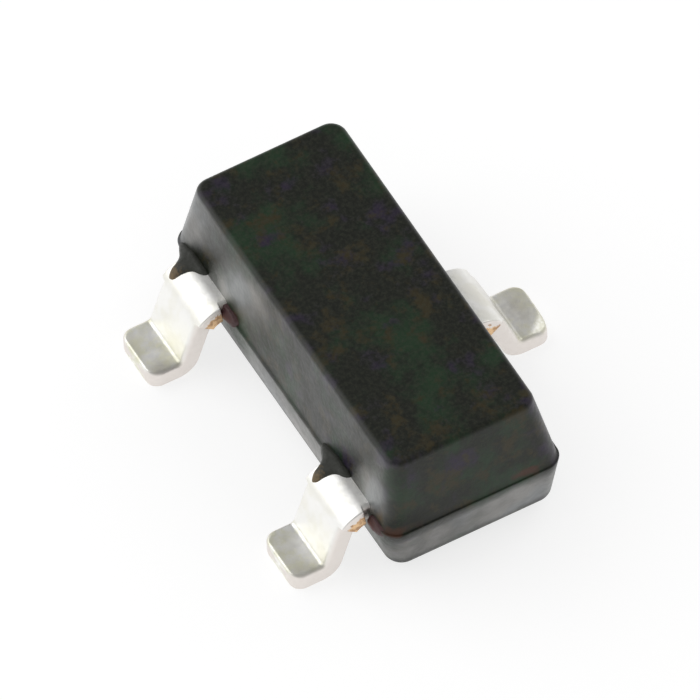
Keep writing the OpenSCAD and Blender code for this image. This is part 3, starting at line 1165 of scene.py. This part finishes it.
    def skin(self) -> Skin:
        """Builds the lead: the section carried along the strip, with its own width at each place.

        The half width is the plate's inside the body, the lead's outside it, and stub_out more at the
        tie bar. Towards its end it is rounded off by the toe's radius, and the thickness by the toe
        edge's. The section's edges have the sheared radius below and the rolled one above, both less
        than half as large at the tie bar. A worn corner slopes down from t = worn, with t the distance
        from the corner along its diagonal: it takes off tan(slope) (u + sqrt(u^2 + e^2)) / 2, with
        u = worn - t and e = worn_soft.

        The copper shows on the tie bar's cut ends, most of all on their lower part. The strip's sides
        are sheared where the section faces sideways.

        Returns:
            The skin, with the point values "bare", "sheared" and the one that darkens the plate.
        """
        way, to_toe = self._stations()
        y, height, slope = (values[:, None] for values in self._walk(way))
        fa, fb, ua, ub = round_rectangle(self.section_steps, self.section_points)
        plate = (y <= self.plate_to + HAIR / 10).astype(float)
        on_shoulder = ramp(y, self.stub_from, self.stub_to, self.stub_lip)
        d = to_toe[:, None]
        edge_inset = round_off(d, self.toe_edge)
        outside = self.width / 2 + on_shoulder * self.stub_out - round_off(d, self.toe) - edge_inset
        half = plate * self.plate_length / 2 + (1 - plate) * outside
        thick = self.thickness / 2 - edge_inset
        r = self.sheared + (self.rolled - self.sheared) * (1 + fb) / 2
        r = np.minimum(r * (1 - 0.6 * on_shoulder), thick * 0.8)
        across = plate * self.plate_x + fa * (half - r) + r * ua
        up = fb * (thick - r) + r * ub
        into = self.worn - (self.width / 2 - across + d) / math.sqrt(2)
        wear = math.tan(math.radians(self.worn_slope)) * (into + np.hypot(into, self.worn_soft)) / 2
        up = up - (self.worn > 0) * wear * (up / thick + 1) / 2
        rings = np.stack([
            self.x + across,
            self.towards * (y + up * np.sin(slope)),
            height + up * np.cos(slope),
        ], axis=-1)
        on_side = np.clip((np.abs(across) - self.width / 2) / (0.7 * self.stub_out), 0, 1)
        low_side = np.clip(0.75 - up / self.thickness * 1.6, 0, 1)
        bare = on_shoulder * on_side * low_side * (1 - plate)
        sheared = np.clip(1.5 * np.abs(ua) - 0.5, 0, 1) * (1 - plate) * np.ones_like(bare)
        caps = np.array(self.cap_rings)[:, None, None]
        first, last = rings[:1].mean(axis=1, keepdims=True), rings[-1:].mean(axis=1, keepdims=True)
        rings = np.concatenate([
            first + (rings[:1] - first) * caps[::-1], rings, last + (rings[-1:] - last) * caps,
        ])
        grow = [(len(caps), len(caps)), (0, 0)]
        # Where the plate is darkened; on the cathode lead this is painted shade.
        dulled = np.clip(sum(spot.share(rings) for spot in self.dark_patches), 0, 1)
        return Skin(rings, {
            "bare": np.pad(bare, grow), "sheared": np.pad(sheared, grow, mode="edge"), "dulled": dulled,
        })

    def build(self, finish: bpy.types.Material) -> bpy.types.Object:
        """Builds the lead, dressed in this finish."""
        return Piece(f"{self.node}_strip", [self.skin()], [finish], self.node, "tinned_copper").build()


@dataclass
class LeadFrame:
    """The three leads, each with its plate inside the body.

    Attributes:
        anode_x: How far each anode lead is from the body's middle.
        post_in: How far each wire post is set inwards from its lead.
        post_length, post: Length of each post, and where it starts and ends across the body.
        pad_length, pad: Length of the chips' pad, and where it starts and ends across the body.
        anode_dark_patches: The darker patch on each anode lead's foot.
            cathode_painted_shade, cathode_worn: The painted shade on the cathode lead's foot and slope,
                which
            the lamps light less, and the wear of its toe.
    """

    anode_x: float = ANODE_X
    post_in: float = 0.10 * MM
    post_length: float = 0.72 * MM
    post: Pair = (0.25 * MM, 0.51 * MM)
    pad_length: float = 1.55 * MM
    pad: Pair = (-0.01 * MM, 0.51 * MM)
    anode_dark_patches: tuple[Spot, Spot] = (
        Spot((-0.76, -1.12, 0.12), (0.06, 0.10, 0.06), 0.7),
        Spot((1.14, -1.12, 0.12), (0.06, 0.10, 0.06), 0.4),
    )
    # Painted shade on the cathode lead's foot and slope, which the lamps light less than the anode leads.
    cathode_painted_shade: tuple[Spot, ...] = (
        Spot((-0.03, 1.07, 0.12), (0.24, 0.10, 0.06), 0.45),
        Spot((0.02, 0.86, 0.32), (0.30, 0.14, 0.22), 0.60),
    )
    cathode_worn: float = 0.115 * MM

    def build(self) -> list[bpy.types.Object]:
        """Builds the three leads.

        Returns:
            Their objects.
        """
        finish = TinPlate().material()
        leads = [
            FormedLead(
                node=name,
                x=side.value * self.anode_x,
                towards=-1,
                plate_from=self.post[0],
                plate_to=self.post[1],
                plate_x=-side.value * self.post_in,
                plate_length=self.post_length,
                dark_patches=(dark_patch,),
            )
            for name, side, dark_patch in zip(("anode_lead_1", "anode_lead_2"), Side, self.anode_dark_patches)
        ]
        leads.append(FormedLead(
            node="cathode_lead",
            x=0.0,
            towards=1,
            plate_from=self.pad[0],
            plate_to=self.pad[1],
            plate_x=0.0,
            plate_length=self.pad_length,
            worn=self.cathode_worn,
            dark_patches=self.cathode_painted_shade,
        ))
        return [lead.build(finish) for lead in leads]


@dataclass
class SealedParts:
    """The chips, their solder and the gold wires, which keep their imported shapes.

    Attributes:
        chips, solders, wires: Their nodes.
        contact_thickness: Thickness of the metal contact on each chip.
    """

    chips: tuple[str, str] = ("diode_chip_1", "diode_chip_2")
    solders: tuple[str, str] = ("chip_solder_1", "chip_solder_2")
    wires: tuple[str, str] = ("bond_wire_1", "bond_wire_2")
    contact_thickness: float = 0.006 * MM

    def dress(self) -> None:
        """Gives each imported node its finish."""
        chip_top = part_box(self.chips[0])[1].z
        silicon = Silicon(contact_from=chip_top - self.contact_thickness / 2).material()
        for names, finish in (
            (self.chips, silicon),
            (self.solders, DIE_SOLDER.material()),
            (self.wires, GOLD.material()),
        ):
            for name in names:
                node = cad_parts[name]
                node.data.materials.clear()
                node.data.materials.append(finish)
                log.info("%s: packed shape, %s", name, finish.name)


@dataclass
class SoftBox:
    """A lamp behind a diffuser.

    Attributes:
        name: Its name.
        towards: The direction in which it stands, from the object.
        radiance: How bright its face is; 1 is white.
        width, height: Size of its face.
        distance: How far away it stands.
    """

    name: str
    towards: Place
    radiance: float
    width: float
    height: float
    distance: float

    def build(self) -> None:
        """Sets the lamp up, facing the object. Its power is radiance x pi x area."""
        lamp = bpy.data.lights.new(self.name, "AREA")
        lamp.shape = "RECTANGLE"
        lamp.size, lamp.size_y = self.width, self.height
        lamp.energy = self.radiance * math.pi * self.width * self.height
        box = bpy.data.objects.new(self.name, lamp)
        way = Vector(self.towards).normalized()
        turn = way.to_track_quat("Z", "Y").to_matrix().to_4x4()
        box.matrix_world = Matrix.Translation(way * self.distance) @ turn
        box.visible_camera = False
        bpy.context.scene.collection.objects.link(box)
        log.info("%s: radiance %.2f", self.name, self.radiance)


@dataclass
class Studio:
    """A plain pale floor under a plain sky, with soft boxes and the camera.

    Attributes:
        azimuth, elevation, roll: The camera's direction, height above the horizon and roll, in degrees.
        scale: Picture points to a metre.
        seen, seen_px: A point of the object, and where the picture shows it, from its upper left.
        camera_distance, clip: How far back the camera stands, and the range that it sees.
        floor_side, floor_gap: Side of the floor, and how far it lies under the soles.
        floor_albedo: How much light the floor throws back.
        floor_shade, floor_lift: How much of the floor's own shading the camera sees, and how far
            that is lifted, so that the open floor is white.
        horizon, zenith: Brightness of the sky at the horizon and overhead.
        haze: Heights of a direction between which the one turns into the other.
        boxes: The soft boxes.
    """

    azimuth: float = 64.4
    elevation: float = 52.3
    roll: float = -4.04
    scale: float = 156.6 / MM
    seen: Place = (0.0, 0.0, 0.5 * MM)
    seen_px: Pair = (368.2, 345.1)
    camera_distance: float = 20 * MM
    clip: Pair = (0.1 * MM, 1000 * MM)
    floor_side: float = 600 * MM
    floor_gap: float = 0.0002 * MM
    floor_albedo: float = 0.80
    floor_shade: float = 0.38
    floor_lift: float = 0.745
    horizon: float = 1.0
    zenith: float = 0.50
    haze: Pair = (0.05, 0.75)
    boxes: tuple[SoftBox, ...] = (
        SoftBox(
            "left soft box",
            towards=(-0.55, -0.50, 0.67),
            radiance=1.10,
            width=66 * MM,
            height=48 * MM,
            distance=55 * MM,
        ),
        SoftBox(
            "right soft box",
            towards=(-0.12, 0.69, 0.71),
            radiance=0.95,
            width=26 * MM,
            height=26 * MM,
            distance=50 * MM,
        ),
    )

    def build(self) -> None:
        """Builds the floor, the sky, the lamps and the camera."""
        self._floor()
        self._sky()
        for box in self.boxes:
            box.build()
        self._camera()
        bpy.context.scene.view_settings.view_transform = "Standard"

    def _floor(self) -> None:
        """Lays the floor at the board's height. It throws light as pale paper does, and is lifted to
        white in the camera, in gloss and in glass, where a part of its own shading stays."""
        half = self.floor_side / 2
        corners = np.array([[-1, -1, 0], [1, -1, 0], [1, 1, 0], [-1, 1, 0]]) * half
        corners = corners - [0, 0, self.floor_gap]
        mesh = bpy.data.meshes.new("floor")
        mesh.from_pydata(corners.tolist(), [], [[0, 1, 2, 3]])
        sketch = NodeSketch("pale floor")
        path = sketch.add("ShaderNodeLightPath")
        shown = sketch.maths("MAXIMUM", path.outputs["Is Camera Ray"], path.outputs["Is Glossy Ray"])
        shown = sketch.maths("MAXIMUM", shown, path.outputs["Is Transmission Ray"])
        paper = sketch.add("ShaderNodeBsdfDiffuse", None, {"Color": (*[self.floor_albedo] * 3, 1)})
        shade = sketch.add("ShaderNodeBsdfDiffuse", None, {"Color": (*[self.floor_shade] * 3, 1)})
        lift = sketch.add("ShaderNodeEmission", None, {"Strength": self.floor_lift})
        seen = sketch.add("ShaderNodeAddShader", None, {0: shade.outputs[0], 1: lift.outputs[0]})
        both = sketch.add("ShaderNodeMixShader", None, {0: shown, 1: paper.outputs[0], 2: seen.outputs[0]})
        sketch.feed(sketch.end, {"Surface": both.outputs[0]})
        sketch.tree.nodes.remove(sketch.shader)
        mesh.materials.append(sketch.material)
        floor = bpy.data.objects.new("floor", mesh)
        bpy.context.scene.collection.objects.link(floor)

    def _sky(self) -> None:
        """Makes the sky white at the horizon and greyer overhead, by the height of its direction."""
        world = bpy.data.worlds.new("studio")
        world.use_nodes = True
        bpy.context.scene.world = world
        tree = world.node_tree
        tree.nodes.clear()
        direction = tree.nodes.new("ShaderNodeTexCoord").outputs["Generated"]
        height = tree.nodes.new("ShaderNodeSeparateXYZ")
        level = tree.nodes.new("ShaderNodeMapRange")
        level.interpolation_type = "SMOOTHSTEP"
        ends = (*self.haze, self.horizon, self.zenith)
        for name, value in zip(("From Min", "From Max", "To Min", "To Max"), ends):
            level.inputs[name].default_value = value
        glow = tree.nodes.new("ShaderNodeBackground")
        end = tree.nodes.new("ShaderNodeOutputWorld")
        tree.links.new(direction, height.inputs[0])
        tree.links.new(height.outputs["Z"], level.inputs["Value"])
        tree.links.new(level.outputs["Result"], glow.inputs["Strength"])
        tree.links.new(glow.outputs[0], end.inputs["Surface"])

    def _camera(self) -> None:
        """Sets up the camera, which shows the part without perspective, as a long lens does.

        back = (sin a cos e, -cos a cos e, sin e), and right and up are turned round it by the roll.
        The picture's middle is moved along them until the seen point falls where the picture has it.
        """
        a, e, roll = (math.radians(v) for v in (self.azimuth, self.elevation, self.roll))
        back = Vector((math.sin(a) * math.cos(e), -math.cos(a) * math.cos(e), math.sin(e)))
        level = Vector((math.cos(a), math.sin(a), 0))
        steep = back.cross(level)
        right = math.cos(roll) * level + math.sin(roll) * steep
        up = back.cross(right)
        half = PICTURE_SIDE_PX / 2
        shift_right = (half - self.seen_px[0]) / self.scale
        shift_up = (self.seen_px[1] - half) / self.scale
        middle = Vector(self.seen) + right * shift_right + up * shift_up
        lens = bpy.data.cameras.new("camera")
        lens.type = "ORTHO"
        lens.ortho_scale = PICTURE_SIDE_PX / self.scale
        lens.clip_start, lens.clip_end = self.clip
        camera = bpy.data.objects.new("camera", lens)
        turn = Matrix((right, up, back)).transposed().to_4x4()
        camera.matrix_world = Matrix.Translation(middle + back * self.camera_distance) @ turn
        bpy.context.scene.collection.objects.link(camera)
        bpy.context.scene.camera = camera


def main() -> None:
    """Builds the diode and the studio in order."""
    logging.basicConfig(level=logging.INFO, format="%(name)s: %(message)s")
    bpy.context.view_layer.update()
    MouldedBody().build([skin for leak in LEAKS for skin in leak.skins()])
    LeadFrame().build()
    SealedParts().dress()
    Studio().build()


if __name__ == "__main__":
    main()
